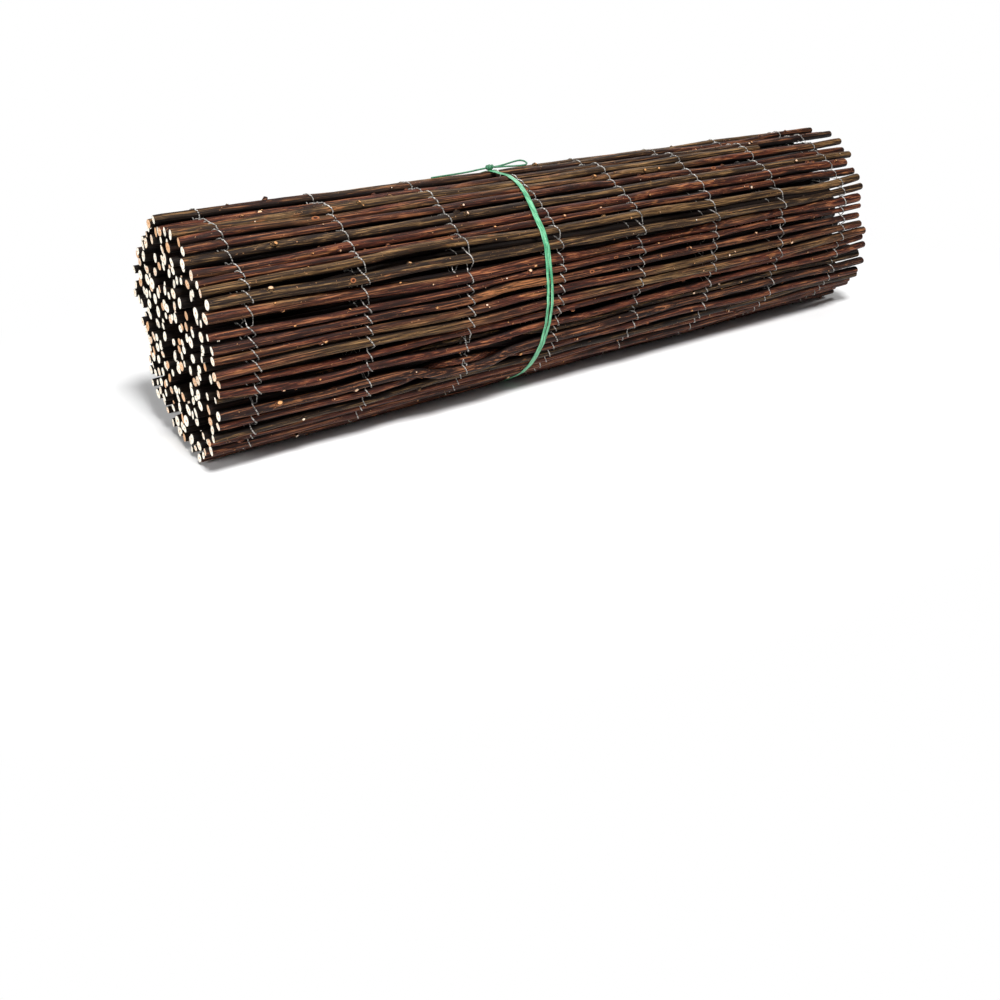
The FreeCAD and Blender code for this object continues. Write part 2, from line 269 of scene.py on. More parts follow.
class Shader:
    """One material, and the nodes in it."""

    def __init__(self, name):
        self.material = bpy.data.materials.new(name)
        self.material.use_nodes = True
        self.tree = self.material.node_tree
        self.surface = self.tree.nodes["Principled BSDF"]
        self.position = self.node("ShaderNodeTexCoord", output="Object")

    def node(self, kind, settings=None, inputs=None, output=0):
        """Adds a node: its settings first, then the values or links of its sockets."""
        made = self.tree.nodes.new(kind)
        for name, value in (settings or {}).items():
            setattr(made, name, value)
        for key, value in (inputs or {}).items():
            self.feed(made.inputs[key], value)
        return Value(self, made.outputs[output])

    def feed(self, socket, value):
        if isinstance(value, Value):
            self.tree.links.new(value.socket, socket)
        else:
            socket.default_value = value

    def attribute(self, name):
        return self.node("ShaderNodeAttribute", {"attribute_name": name}, output="Fac")

    def vector_math(self, operation, *vectors, output=0):
        inputs = dict(enumerate(vectors))
        return self.node("ShaderNodeVectorMath", {"operation": operation}, inputs, output)

    def stretched(self, scales, shift=None):
        """Object coordinates, scaled along each axis and moved by a value if one is given."""
        scaled = self.vector_math("MULTIPLY", self.position, scales)
        if shift is None:
            return scaled
        moves = {0: shift, 1: shift * 1.7, 2: shift * 2.3}
        return self.vector_math("ADD", scaled, self.node("ShaderNodeCombineXYZ", None, moves))

    def noise(self, scales, detail=3.0, roughness=0.55, shift=None):
        inputs = {"Vector": self.stretched(scales, shift), "Scale": 1.0}
        inputs.update({"Detail": detail, "Roughness": roughness})
        return self.node("ShaderNodeTexNoise", None, inputs, output="Fac")

    def mix(self, share, first, second):
        """A colour between two colours."""
        inputs = {0: share, 6: first, 7: second}
        return self.node("ShaderNodeMix", {"data_type": "RGBA"}, inputs, output=2)

    def bump(self, height, strength, distance):
        inputs = {"Height": height, "Strength": strength, "Distance": distance}
        return self.node("ShaderNodeBump", None, inputs)

    def finish(self, **sockets):
        """Feeds the surface, with underscores for the spaces in a socket's name."""
        for name, value in sockets.items():
            self.feed(self.surface.inputs[name.replace("_", " ")], value)
        return self.material


print("Value and Shader are ready")

# %% A pale floor
floor_size = 14.0
floor_gap = 0.0004
white_from = 0.55
white_to = 1.0
sky_strength = 0.06


def add_shape(add, name, **settings):
    """One of Blender's own shapes, with its place and its turn put into the mesh."""
    bpy.ops.object.select_all(action="DESELECT")
    add(**settings)
    bpy.ops.object.transform_apply(location=True, rotation=True, scale=True)
    bpy.context.object.name = name
    return bpy.context.object


def make_floor():
    """A wide pale plane that keeps the roll's shadow, and turns plain white further out."""
    place = (0.0, 0.0, cad_low.z - floor_gap)
    floor = add_shape(bpy.ops.mesh.primitive_plane_add, "floor", size=floor_size, location=place)
    shader = Shader("floor_paint")
    distance = shader.vector_math("LENGTH", shader.stretched((1.0, 1.6, 0.0)), output=1)
    seen = shader.node("ShaderNodeLightPath", output="Is Camera Ray")
    mirrored = shader.node("ShaderNodeLightPath", output="Is Glossy Ray")
    white = shader.node("ShaderNodeEmission", None, {"Color": (1.0, 1.0, 1.0, 1.0)})
    far_out = distance.smooth(white_from, white_to) * (seen + mirrored)
    shader.finish(Base_Color=(0.86, 0.86, 0.86, 1.0), Roughness=0.95)
    paint = Value(shader, shader.surface.outputs[0])
    mixed = shader.node("ShaderNodeMixShader", None, {0: far_out, 1: paint, 2: white})
    output = shader.tree.nodes["Material Output"]
    shader.tree.links.new(mixed.socket, output.inputs["Surface"])
    floor.data.materials.append(shader.material)


def make_world():
    """Even light from all round, and plain white wherever a ray sees past the floor."""
    world = bpy.data.worlds.new("surroundings")
    bpy.context.scene.world = world
    world.use_nodes = True
    tree = world.node_tree
    path = tree.nodes.new("ShaderNodeLightPath")
    strength = tree.nodes.new("ShaderNodeMapRange")
    strength.inputs["To Min"].default_value = sky_strength
    tree.links.new(path.outputs["Is Camera Ray"], strength.inputs["Value"])
    background = tree.nodes["Background"]
    background.inputs["Color"].default_value = (1.0, 1.0, 1.0, 1.0)
    tree.links.new(strength.outputs[0], background.inputs["Strength"])


make_floor()
make_world()
print("floor and surroundings")

# %% [markdown]
# ## Where the rods lie
#
# Each turn of the spiral is one CAD node that holds many straight cones. A merged copy of the
# node falls apart into islands, one for each rod, and an island's two ends say all there is to
# know: where the rod starts, where it stops, and how thick it is at both ends.

# %% Read the rods
turn_names = sorted(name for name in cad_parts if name.startswith("rods_turn_"))


def islands_of(mesh):
    """The corner positions of each separate piece of a merged mesh, in the mesh's own order."""
    seen = set()
    found = []
    for face in mesh.faces:
        if face in seen:
            continue
        island = set()
        waiting = [face]
        seen.add(face)
        while waiting:
            for corner in waiting.pop().verts:
                island.add(corner)
                fresh = [near for near in corner.link_faces if near not in seen]
                seen.update(fresh)
                waiting += fresh
        found.append(np.array([corner.co[:] for corner in island]))
    return found


def rod_from(points, turn):
    """The place and size of one cone, from its corner positions."""
    middle_x = (points[:, 0].min() + points[:, 0].max()) / 2
    near = points[points[:, 0] < middle_x]
    far = points[points[:, 0] > middle_x]
    centre = (near[:, 1:].min(axis=0) + near[:, 1:].max(axis=0)) / 2
    return {
        "turn": turn,
        "near_x": near[:, 0].min(),
        "far_x": far[:, 0].max(),
        "y": centre[0],
        "z": centre[1],
        "near_r": np.ptp(near[:, 2]) / 2,
        "far_r": np.ptp(far[:, 2]) / 2,
    }


def read_rods():
    rods = []
    for turn, name in enumerate(turn_names):
        merged = bmesh.new()
        merged.from_mesh(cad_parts[name].data)
        bmesh.ops.remove_doubles(merged, verts=merged.verts, dist=1e-6)
        rods += [rod_from(points, turn) for points in islands_of(merged)]
        merged.free()
    return rods


rods = read_rods()
steps = [math.hypot(a["y"] - b["y"], a["z"] - b["z"]) for a, b in zip(rods, rods[1:])]
print(len(rods), "rods, next to each other by", round(min(steps), 4), "to", round(max(steps), 4))

# %% [markdown]
# ## How the rods bend
#
# Real willow rods are never straight: each one wanders by a few millimetres, and where it wanders
# into its neighbour, both give way. So every rod first gets random slow waves, drawn on a row of
# stations along the roll. Then all pairs of neighbours that come too close are pushed apart, over
# and over, until the rods lie snugly side by side. At the wire rows they keep room for the wire,
# and under the string and its bow they stay where the string holds them.

# %% Find each rod's place in the spiral
wire_row_count = 8


def with_outward(steps):
    """The steps as unit directions, and the direction to the right of each, which is outward."""
    steps = steps / np.linalg.norm(steps, axis=1)[:, None]
    return steps, np.column_stack([steps[:, 1], -steps[:, 0]])


def middle_of_row(row):
    """Where a wire row lies along the roll, from the boxes of its two strands."""
    first, second = [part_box(f"binding_wire_{row}_{half}") for half in "ab"]
    return (first[0].x + second[1].x) / 2


centres = np.array([[rod["y"], rod["z"]] for rod in rods])
turn_angles = np.unwrap(np.arctan2(centres[:, 1] - axis_height, centres[:, 0]))
compass_turns = np.degrees(turn_angles) % 360
along, outward = with_outward(np.gradient(centres, axis=0))
last_angle = turn_angles[-1]
outer_turn = turn_angles > last_angle - 2 * math.pi
row_x = [middle_of_row(row) for row in range(1, wire_row_count + 1)]
string_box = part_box("tie_string")
print(int(outer_turn.sum()), "rods in the outer turn, wire rows at", [round(x, 3) for x in row_x])

# %% Draw random waves
station_count = 101
wave_size = 0.0066
wave_number = 13
wave_fall = 0.92
wave_out_share = 0.6
string_hold = 0.88
string_hold_length = 0.030
bow_hold = 0.93
bow_shift = 0.009
bow_half_turn = 20
bow_half_length = 0.095
bow_fade = 0.02
least_free = 0.06
string_slant = 0.10
string_middle_x = (string_box[0].x + string_box[1].x) / 2
stray_turns = [97, 108, 122, 136, 150, 165, 180, 195, 210, 235, 270]
stray_millimetres = [0, -0.5, -4.4, -7.8, -9.0, -5.2, -0.6, 4.0, 2.2, 0.8, 0]
stations = np.linspace(cad_low.x, cad_high.x, station_count)
dice = np.random.default_rng(23)


def string_x(y, z):
    """Where along the roll the string lies: its slant, and how it strays in front of the knot."""
    angle = np.degrees(np.arctan2(z - axis_height, y)) % 360
    slant = string_slant * (z - axis_height)
    return string_middle_x + slant + np.interp(angle, stray_turns, stray_millimetres) / 1000


def random_waves():
    """For each rod and station, how far the rod strays along the turn and away from the roll."""
    strays = np.zeros((len(rods), station_count, 2))
    reach = (stations - stations[0]) / (stations[-1] - stations[0])
    for number in range(1, wave_number + 1):
        size = wave_size / number**wave_fall * dice.uniform(0.2, 1.0, (len(rods), 1, 2))
        phase = dice.uniform(0, 2 * math.pi, (len(rods), 1, 2))
        strays += size * np.sin(math.pi * number * reach[None, :, None] + phase)
    strays[:, :, 1] *= wave_out_share
    return strays


def hill(offsets, half_width):
    """1 at an offset of 0, falling off smoothly to both sides."""
    return np.exp(-((offsets / half_width) ** 2))


def hold_factor():
    """1 where a rod may stray freely, and nearly 0 where the string and its bow hold it."""
    free = np.ones((len(rods), station_count))
    free -= string_hold * hill(from_string, string_hold_length) * outer_turn[:, None]
    free -= bow_hold * under_bow
    return np.clip(free, least_free, 1)


def column(key):
    """One value of every rod, one below the other."""
    return np.array([[rod[key]] for rod in rods])


from_string = stations[None, :] - string_x(centres[:, :1], centres[:, 1:])
on_top = (np.abs(compass_turns - knot_turn) < bow_half_turn) & outer_turn
bow_middle_x = knot_place.x - bow_shift
to_bow_end = bow_half_length - np.abs(stations - bow_middle_x)
under_bow = on_top[:, None] * np.clip(to_bow_end / bow_fade, 0, 1)[None, :]
free = hold_factor()
share = (stations[None, :] - column("near_x")) / (column("far_x") - column("near_x"))
radii = column("near_r") * (1 - share) + column("far_r") * share
print("waves of up to", wave_size * 1000, "mm, on", station_count, "stations")

# %% [markdown]
# ## What the string does to the roll
#
# A pulled string rounds off what it goes round: rods that stick out are pressed in, and those
# beside them come out to meet it. The rounded outline is the mean of the true one over a few
# degrees, and each rod of the outer turn is moved to it, most of all right under the string.
#
# One rod in front grew crooked. Instead of random waves it gets a knee, and a gentler bend back
# before it.

# %% Let the string round the roll off
round_off = 9
round_reach = 30
press_in_most = 0.0014
come_out_most = 0.0030
press_length = 0.075
crooked_turn = 173
crooked_x = -0.148
crooked_size = 0.0080
crooked_out = 0.0012
crooked_give = 0.15
knee_half = 0.026
back_bend_way = 0.075
back_bend_half = 0.035
back_bend_share = 0.8
compass = np.radians(np.arange(360))
compass_out = np.column_stack([np.cos(compass), np.sin(compass)])


def support_lines():
    """For each rod and degree, how far the rod reaches that way from the middle of the roll."""
    at_string = np.abs(from_string).argmin(axis=1)
    thickness = radii[np.arange(len(rods)), at_string]
    return (centres - [0.0, axis_height]) @ compass_out.T + thickness[:, None]


def move_to_string():
    """How far each rod of the outer turn moves outward to meet the rounded outline."""
    reaches = support_lines()
    outline = reaches[outer_turn].max(axis=0)
    weights = np.exp(-((np.arange(-round_reach, round_reach + 1) / round_off) ** 2))
    padded = np.concatenate([outline[-round_reach:], outline, outline[:round_reach]])
    rounded = np.convolve(padded, weights / weights.sum(), mode="valid")
    slack = rounded[None, :] - reaches
    nearest = slack.argmin(axis=1)
    move = np.clip(slack.min(axis=1), -press_in_most, come_out_most) * outer_turn
    return move, compass_out[nearest]


crooked = int(np.where(outer_turn, np.abs(compass_turns - crooked_turn), 999).argmin())
move, move_way = move_to_string()
fade = hill(from_string, press_length) * (1 - under_bow)
base = centres[:, None, :] + (move[:, None] * fade)[:, :, None] * move_way[:, None, :]
waves = random_waves()
knee = hill(stations - crooked_x, knee_half)
knee -= back_bend_share * hill(stations - crooked_x + back_bend_way, back_bend_half)
waves[crooked, :, 0] = -crooked_size * knee
waves[crooked, :, 1] = crooked_out * np.abs(knee)
strays = waves[:, :, :1] * along[:, None, :] + waves[:, :, 1:] * outward[:, None, :]
bent = base + free[:, :, None] * strays
free[crooked] = np.minimum(free[crooked], crooked_give)
print("the string moves rods by", [round(way * 1000, 1) for way in (move.min(), move.max())], "mm")

# %% Push neighbours apart
neighbour_reach = 0.026
touch_gap = 0.0004
row_gap_along = 0.0015
row_gap_between = 0.0027
row_half = 0.010
row_fade = 0.015
box_margin = 0.0015
swell_most = 0.0016
push_share = 0.8
push_count = 180
smooth_every = 10
smooth_until = 130


def wanted_gaps(first, second):
    """How far apart the barks of each pair stay at each station."""
    to_row = np.abs(stations[:, None] - np.array(row_x)[None, :]).min(axis=1)
    at_row = np.clip(1 - (to_row - row_half) / row_fade, 0, 1)
    same_turn = (second - first == 1)[:, None]
    row_gap = np.where(same_turn, row_gap_along, row_gap_between)
    return touch_gap + (row_gap - touch_gap) * at_row[None, :]


def push_apart(first, second, gaps):
    """Moves each pair that is too close, more where it's free and less where it's held."""
    between = bent[second] - bent[first]
    distance = np.linalg.norm(between, axis=2)
    lack = np.clip(radii[first] + radii[second] + gaps - distance, 0, None)
    push = between / distance[:, :, None] * lack[:, :, None]
    part = free[first] / (free[first] + free[second])
    np.add.at(bent, first, -push_share * push * part[:, :, None])
    np.add.at(bent, second, push_share * push * (1 - part)[:, :, None])
    return lack.max()


def stay_in_box():
    for axis, low, high in ((0, cad_low.y, cad_high.y), (1, cad_low.z, cad_high.z)):
        lowest = low + box_margin + radii
        highest = high - box_margin - radii
        bent[:, :, axis] = np.clip(bent[:, :, axis], lowest, highest)


def stay_in_outline():
    """The outer turn doesn't swell past the CAD outline by more than a hair."""
    out = ((bent - base) * outward[:, None, :]).sum(axis=2)
    too_far = np.clip(out - swell_most * free, 0, None) * outer_turn[:, None]
    bent[:] -= too_far[:, :, None] * outward[:, None, :]


def smooth_along():
    bent[:, 1:-1] = 0.5 * bent[:, 1:-1] + 0.25 * (bent[:, :-2] + bent[:, 2:])


apart = np.linalg.norm(centres[:, None, :] - centres[None, :, :], axis=2)
first, second = np.nonzero(np.triu(apart < neighbour_reach, k=1))
gaps = wanted_gaps(first, second)
for step in range(push_count):
    worst = push_apart(first, second, gaps)
    stay_in_outline()
    stay_in_box()
    if step < smooth_until and step % smooth_every == 0:
        smooth_along()
print(len(first), "pairs of neighbours, the worst still", round(worst * 1000, 2), "mm too close")
strayed = np.abs(bent - centres[:, None, :]).max(axis=(1, 2)) * 1000
print("a rod strays by", round(strayed.mean(), 1), "mm, or at most by", round(strayed.max(), 1))

# %% [markdown]
# ## One rod, and its copies
#
# A rod starts as a cylinder along X. Its long edges are cut into rings, so that it can bend, and
# each end is inset twice: the outer ring is the bark's cut edge, and the middle is the pith. The
# master is one unit long and one unit in radius. A copy is laid along its own bent centre line,
# with its own taper, a slightly oval section that swells and shrinks a little, and ends cut askew.
#
# The rods of the two outer turns are seen along their whole length, so they get many rings. Of
# those inside only the ends are seen, and they make do with a few.

# %% Model the master rods
rod_sides = 12
outer_ring_count = 96
inner_ring_count = 7
cut_insets = (0.10, 0.62)
along_x = (0.0, math.pi / 2, 0.0)


def select_only(mesh_object, kind, wanted):
    """In edit mode: selects the edges or faces for which wanted is true, and nothing else."""
    mesh = bmesh.from_edit_mesh(mesh_object.data)
    for part in (*mesh.verts, *mesh.edges, *mesh.faces):
        part.select = False
    for part in getattr(mesh, kind):
        if wanted(part):
            part.select_set(True)
    mesh.select_flush_mode()
    bmesh.update_edit_mesh(mesh_object.data)


def is_long(edge):
    return abs(edge.verts[0].co.x - edge.verts[1].co.x) > 0.5


def is_end(face):
    return len(face.verts) > 4


def make_master_rod(name, ring_count):
    """A cylinder from x = 0 to 1 of radius 1, cut into rings, with inset ends."""
    place = {"location": (0.5, 0, 0), "rotation": along_x}
    size = {"vertices": rod_sides, "radius": 1.0, "depth": 1.0}
    master = add_shape(bpy.ops.mesh.primitive_cylinder_add, name, **size, **place)
    bpy.ops.object.mode_set(mode="EDIT")
    bpy.ops.mesh.select_mode(type="EDGE")
    select_only(master, "edges", is_long)
    bpy.ops.mesh.subdivide(number_cuts=ring_count)
    bpy.ops.mesh.select_mode(type="FACE")
    for thickness in cut_insets:
        select_only(master, "faces", is_end)
        bpy.ops.mesh.inset(thickness=thickness, use_individual=True)
    select_only(master, "faces", is_end)
    bpy.ops.mesh.poke()
    bpy.ops.object.mode_set(mode="OBJECT")
    return master


outer_master = make_master_rod("outer_rod_master", outer_ring_count)
inner_master = make_master_rod("inner_rod_master", inner_ring_count)
for master in (outer_master, inner_master):
    print(master.name, "has", len(master.data.polygons), "faces")

# %% Lay a copy along each bent rod
bark_share = 0.955
knob_size = 0.045
knob_waves = (60.0, 130.0, 240.0)
crooked_knobs = 3.0
crooked_knob_half = 0.045
crooked_knob_wave = 420.0
oval_share = 0.045
oval_twist = 3.0
phase_most = 6.28
cut_skew = 0.10
end_rounding = 0.0003
# The inner turns get painted shade on most of their bark.
inner_turn_unshaded = 0.35
open_lift = 0.31
phase_step = 0.37
bare_half = 0.06
first_seed = 1000
detailed_from = last_angle - 4 * math.pi - 0.3


def centre_at(rod_index, x):
    """The bent centre line at any x, from the stations."""
    ys = np.interp(x, stations, bent[rod_index, :, 0])
    zs = np.interp(x, stations, bent[rod_index, :, 1])
    return ys, zs


def radius_at(rod_index, x):
    rod = rods[rod_index]
    part = (x - rod["near_x"]) / (rod["far_x"] - rod["near_x"])
    return rod["near_r"] + (rod["far_r"] - rod["near_r"]) * part


def corners_of(mesh):
    return np.array([corner.co[:] for corner in mesh.vertices])


def copy_of(master):
    piece = master.copy()
    piece.data = master.data.copy()
    bpy.context.scene.collection.objects.link(piece)
    return piece


def shape_rod(rod_index, unit, rod_dice):
    """The corner positions of one rod, and for each the share of the way from pith to bark."""
    rod = rods[rod_index]
    across = np.hypot(unit[:, 1], unit[:, 2])
    angle = np.arctan2(unit[:, 2], unit[:, 1])
    x = rod["near_x"] + unit[:, 0] * (rod["far_x"] - rod["near_x"])
    ys, zs = centre_at(rod_index, x)
    radius = rod["near_r"] + (rod["far_r"] - rod["near_r"]) * unit[:, 0]
    knobs = sum(
        rod_dice.uniform(0.2, 1.0) * np.sin(x * wave + rod_dice.uniform(0, phase_most))
        for wave in knob_waves
    )
    if rod_index == crooked:
        ripples = 0.5 + np.sin(x * crooked_knob_wave)
        knobs = knobs + crooked_knobs * hill(x - crooked_x, crooked_knob_half) * ripples
    oval_turn = rod_dice.uniform(0, phase_most)
    oval = 1 + oval_share * np.cos(2 * angle + oval_turn + x * oval_twist)
    radius = radius * (bark_share + knob_size * knobs / len(knob_waves)) * oval
    at_end = np.minimum(x - rod["near_x"], rod["far_x"] - x) < 1e-5
    radius = np.where(at_end, radius - end_rounding * (across > 0.9), radius)
    y = ys + radius * across * np.cos(angle)
    z = zs + radius * across * np.sin(angle)
    lean = rod_dice.uniform(-cut_skew, cut_skew, (2, 2))
    for end, furthest in ((0, np.min), (1, np.max)):
        at_this_end = at_end & (unit[:, 0].round() == end)
        tilt = lean[end, 0] * (y - ys) + lean[end, 1] * (z - zs)
        x = np.where(at_this_end, x + tilt - furthest(tilt[at_this_end]), x)
    return np.column_stack([x, y, z]), across


def painted_shade_of(rod_index, section):
    """How much painted shade each point round the bark gets, from 0 to 1: more the further it is
    turned away from the open, and more on the inner turns.
    """
    lengths = np.maximum(np.linalg.norm(section, axis=1), 1e-6)
    open_side = section @ outward[rod_index] / lengths
    unshaded = 1.0 if outer_turn[rod_index] else inner_turn_unshaded
    return 1 - np.clip(open_side + open_lift, 0, 1) * unshaded


def add_values(mesh, **values):
    """Gives the corners of a mesh values for the paint to read: one for all, or one for each."""
    for name, value in values.items():
        layer = mesh.attributes.new(name, "FLOAT", "POINT")
        spread = np.broadcast_to(np.asarray(value, np.float32), len(mesh.vertices))
        layer.data.foreach_set("value", spread.copy())


def add_bark_values(mesh, rod_index, across, scar=0.0, bare=0.0, sheltered=0.0):
    """What the bark's paint needs: values of the whole rod, and of each place on it."""
    tone, red = values_of[rod_index]
    phase = rod_index * phase_step
    add_values(mesh, across=across, tone=tone, red=red, phase=phase)
    add_values(mesh, scar=scar, bare=bare, sheltered=sheltered)


def mark_cuts(mesh, marks):
    """A mask that says of each face whether it's cut wood."""
    mask = mesh.attributes.new("cut", "FLOAT", "FACE")
    mask.data.foreach_set("value", [float(mark) for mark in marks])


def make_rod(rod_index):
    master = outer_master if turn_angles[rod_index] > detailed_from else inner_master
    piece = copy_of(master)
    rod_dice = np.random.default_rng(first_seed + rod_index)
    unit = corners_of(master.data)
    corners, across = shape_rod(rod_index, unit, rod_dice)
    piece.data.vertices.foreach_set("co", corners.ravel())
    piece.data.update()
    values_of[rod_index] = (rod_dice.uniform(0, 1), rod_dice.uniform(0, 1))
    bare = hill(corners[:, 0] - crooked_x, bare_half) * (rod_index == crooked)
    # Painted shade: darkens the bark turned away from the open, and the inner turns, in place of
    # the shade between the rods.
    sheltered = painted_shade_of(rod_index, unit[:, 1:])
    add_bark_values(piece.data, rod_index, across, bare=bare, sheltered=sheltered)
    mark_cuts(piece.data, [abs(face.normal.x) > 0.6 for face in piece.data.polygons])
    return piece


values_of = {}
copies = [make_rod(index) for index in range(len(rods))]
print(len(copies), "rods laid, with", sum(len(piece.data.polygons) for piece in copies), "faces")

# %% [markdown]
# ## Stubs and scars
#
# Where a side shoot was trimmed off, a short stub is left with a pale cut face. Where a thicker
# branch broke away, the bark has healed round the place in a low oval ring. Both are small, and
# there are hundreds of stubs, so their masters have few faces. They sit on the outward side of the
# rods of the outer turn.

# %% Model a stub and a scar


def make_small_master(name, sides, ends, depth, middle, insets, sink):
    """A cone along Z. Its top face is inset, and what is left of it may sink in."""
    size = {"vertices": sides, "radius1": ends[0], "radius2": ends[1], "depth": depth}
    master = add_shape(bpy.ops.mesh.primitive_cone_add, name, **size, location=(0, 0, middle))
    bpy.ops.object.mode_set(mode="EDIT")
    bpy.ops.mesh.select_mode(type="FACE")
    select_only(master, "faces", lambda face: face.normal.z > 0.9)
    for thickness in insets:
        bpy.ops.mesh.inset(thickness=thickness)
    bpy.ops.transform.translate(value=(0, 0, -sink))
    bpy.ops.object.mode_set(mode="OBJECT")
    return master


stub_master = make_small_master("stub_master", 8, (1.5, 0.9), 1.6, 0.2, [0.22], 0.0)
scar_master = make_small_master("scar_master", 12, (1.0, 0.78), 1.0, -0.30, [0.26, 0.12], 0.12)
print("a stub has", len(stub_master.data.polygons), "faces, a scar", len(scar_master.data.polygons))

# %% Set them on the rods
stubs_per_rod = 9
scar_chance = 0.35
seen_side = math.radians(62)
foot_depth = 0.93
stub_least = 0.0010
stub_spread = 0.0017
stub_length = (1.0, 1.6)
stub_height = (0.8, 1.3)
stub_lean = (-0.1, 0.5)
stub_heart = (0.04, 0.22)
scar_length = (0.0032, 0.0062)
scar_width = (0.45, 0.62)
scar_height = 0.0022
scar_side_share = 0.5
row_room = 0.011
string_room = 0.012
bow_room = 0.10
end_room = 0.02
small_margin = 0.0003
small_dice = np.random.default_rng(77)


def set_on_rod(master, rod_index, x, angle, sizes, lean):
    """A copy of the master on the bark at x, turned by the angle from straight outward."""
    y, z = centre_at(rod_index, x)
    way = math.cos(angle) * outward[rod_index] + math.sin(angle) * along[rod_index]
    up = Vector((lean, way[0], way[1])).normalized()
    side = up.cross(Vector((1.0, 0.0, 0.0))).normalized()
    forward = side.cross(up)
    reach = radius_at(rod_index, x) * foot_depth
    foot = Vector((x, y + way[0] * reach, z + way[1] * reach))
    piece = copy_of(master)
    unit = corners_of(master.data)
    for corner, at in zip(piece.data.vertices, unit * sizes):
        corner.co = foot + forward * at[0] + side * at[1] + up * at[2]
    piece.data.update()
    return piece, unit


def fits_in_box(piece):
    corners = corners_of(piece.data)
    low, high = np.array(cad_low) + small_margin, np.array(cad_high) - small_margin
    return ((corners > low) & (corners < high)).all()


def add_stub(rod_index, x, angle):
    size = stub_least + stub_spread * small_dice.random() ** 2
    length = size * small_dice.uniform(*stub_length)
    height = size * small_dice.uniform(*stub_height)
    lean = small_dice.uniform(*stub_lean)
    piece, unit = set_on_rod(stub_master, rod_index, x, angle, (length, size, height), lean)
    heart = small_dice.uniform(*stub_heart)
    in_heart = [math.hypot(at[0], at[1]) < 0.75 for at in unit]
    add_bark_values(piece.data, rod_index, [heart if inner else 1.0 for inner in in_heart])
    faces = piece.data.polygons
    mark_cuts(piece.data, [len(f.vertices) > 4 and unit[f.vertices[0]][2] > 0.9 for f in faces])
    return piece


def add_scar(rod_index, x, angle):
    length = small_dice.uniform(*scar_length)
    sizes = (length, radius_at(rod_index, x) * small_dice.uniform(*scar_width), scar_height)
    piece, unit = set_on_rod(scar_master, rod_index, x, angle, sizes, 0.0)
    from_middle = [math.hypot(at[0], at[1]) for at in unit]
    rings = [0.0 if reach > 0.9 else 1.0 if reach > 0.45 else 2.0 for reach in from_middle]
    add_bark_values(piece.data, rod_index, 1.0, scar=rings)
    mark_cuts(piece.data, [False] * len(piece.data.polygons))
    return piece


def away_from_ties(rod_index, x):
    """True where neither a wire row nor the string or its bow is near."""
    to_row = min(abs(x - row) for row in row_x)
    to_string = abs(x - string_x(*centres[rod_index]))
    top_blocked = on_top[rod_index] and abs(x - bow_middle_x) < bow_room
    return to_row > row_room and to_string > string_room and not top_blocked


small_pieces = [[] for name in turn_names]
for rod_index in np.nonzero(outer_turn)[0]:
    rod = rods[rod_index]
    for number in range(stubs_per_rod):
        x = small_dice.uniform(rod["near_x"] + end_room, rod["far_x"] - end_room)
        angle = small_dice.uniform(-seen_side, seen_side)
        if not away_from_ties(rod_index, x):
            continue
        if number == 0 and small_dice.random() < scar_chance:
            piece = add_scar(rod_index, x, angle * scar_side_share)
        else:
            piece = add_stub(rod_index, x, angle)
        if fits_in_box(piece):
            small_pieces[rod["turn"]].append(piece)
        else:
            bpy.data.objects.remove(piece)
print(sum(len(pieces) for pieces in small_pieces), "stubs and scars")

# %% Join the rods of each turn


def join(pieces, name):
    """Makes one object of several, and gives it its name."""
    bpy.ops.object.select_all(action="DESELECT")
    for piece in pieces:
        piece.select_set(True)
    bpy.context.view_layer.objects.active = pieces[0]
    bpy.ops.object.join()
    pieces[0].name = name
    pieces[0].data.name = name
    return pieces[0]


turn_pieces = []
for turn, node in enumerate(turn_names):
    members = [piece for piece, rod in zip(copies, rods) if rod["turn"] == turn]
    made = join(members + small_pieces[turn], "willow_rods_" + str(turn + 1))
    bpy.ops.object.shade_smooth_by_angle(angle=math.radians(40))
    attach(made, "root")
    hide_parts(node)
    turn_pieces.append(made)
    print(made.name, "has", len(members), "rods and", len(made.data.polygons), "faces")
for master in (outer_master, inner_master, stub_master, scar_master):
    bpy.data.objects.remove(master)

# %% [markdown]
# ## The binding wires
#
# Two thin galvanised strands hold each row. Between two rods they swap sides, so that every rod
# has one strand outside and one inside, and the outer one always runs the same way: a short
# slanting line on each rod. A strand is a chain of points round the bent rods, with a thin round
# section, and its partner does the same with the sides swapped.

# %% Weave the strands
strand_radius = 0.00062
slash_half = 0.0034
slash_spread = 0.0008
row_wander = 0.0011
wander_every = 4
rod_end_room = 0.008
wire_seed = 50
arc_angles = np.radians([-72, -38, 0, 38, 72])


def strand_points(x0, first_outside, wire_dice):
    """The way of one strand through the whole spiral, over one rod and under the next."""
    near, far = column("near_x")[:, 0] + rod_end_room, column("far_x")[:, 0] - rod_end_room
    here = np.nonzero((near < x0) & (x0 < far))[0]
    line = np.array([centre_at(index, x0) for index in here])
    direction, out = with_outward(np.gradient(line, axis=0))
    marks = np.arange(0, len(here) + wander_every, wander_every)
    drift = np.interp(np.arange(len(here)), marks, wire_dice.normal(0, row_wander, len(marks)))
    points = []
    for place, index in enumerate(here):
        outside = (place % 2 == 0) == first_outside
        reach = radius_at(index, x0) + strand_radius
        half = slash_half + wire_dice.uniform(-slash_spread, slash_spread)
        side = 1.0 if outside else -1.0
        for angle in arc_angles:
            way = side * math.cos(angle) * out[place] + math.sin(angle) * direction[place]
            y, z = line[place] + reach * way
            points.append((x0 + drift[place] + side * half * math.sin(angle), y, z))
    return points


def add_tube(name, points, radius):
    return make_tube(start_curve(name, "POLY", points)[0], radius, 1)


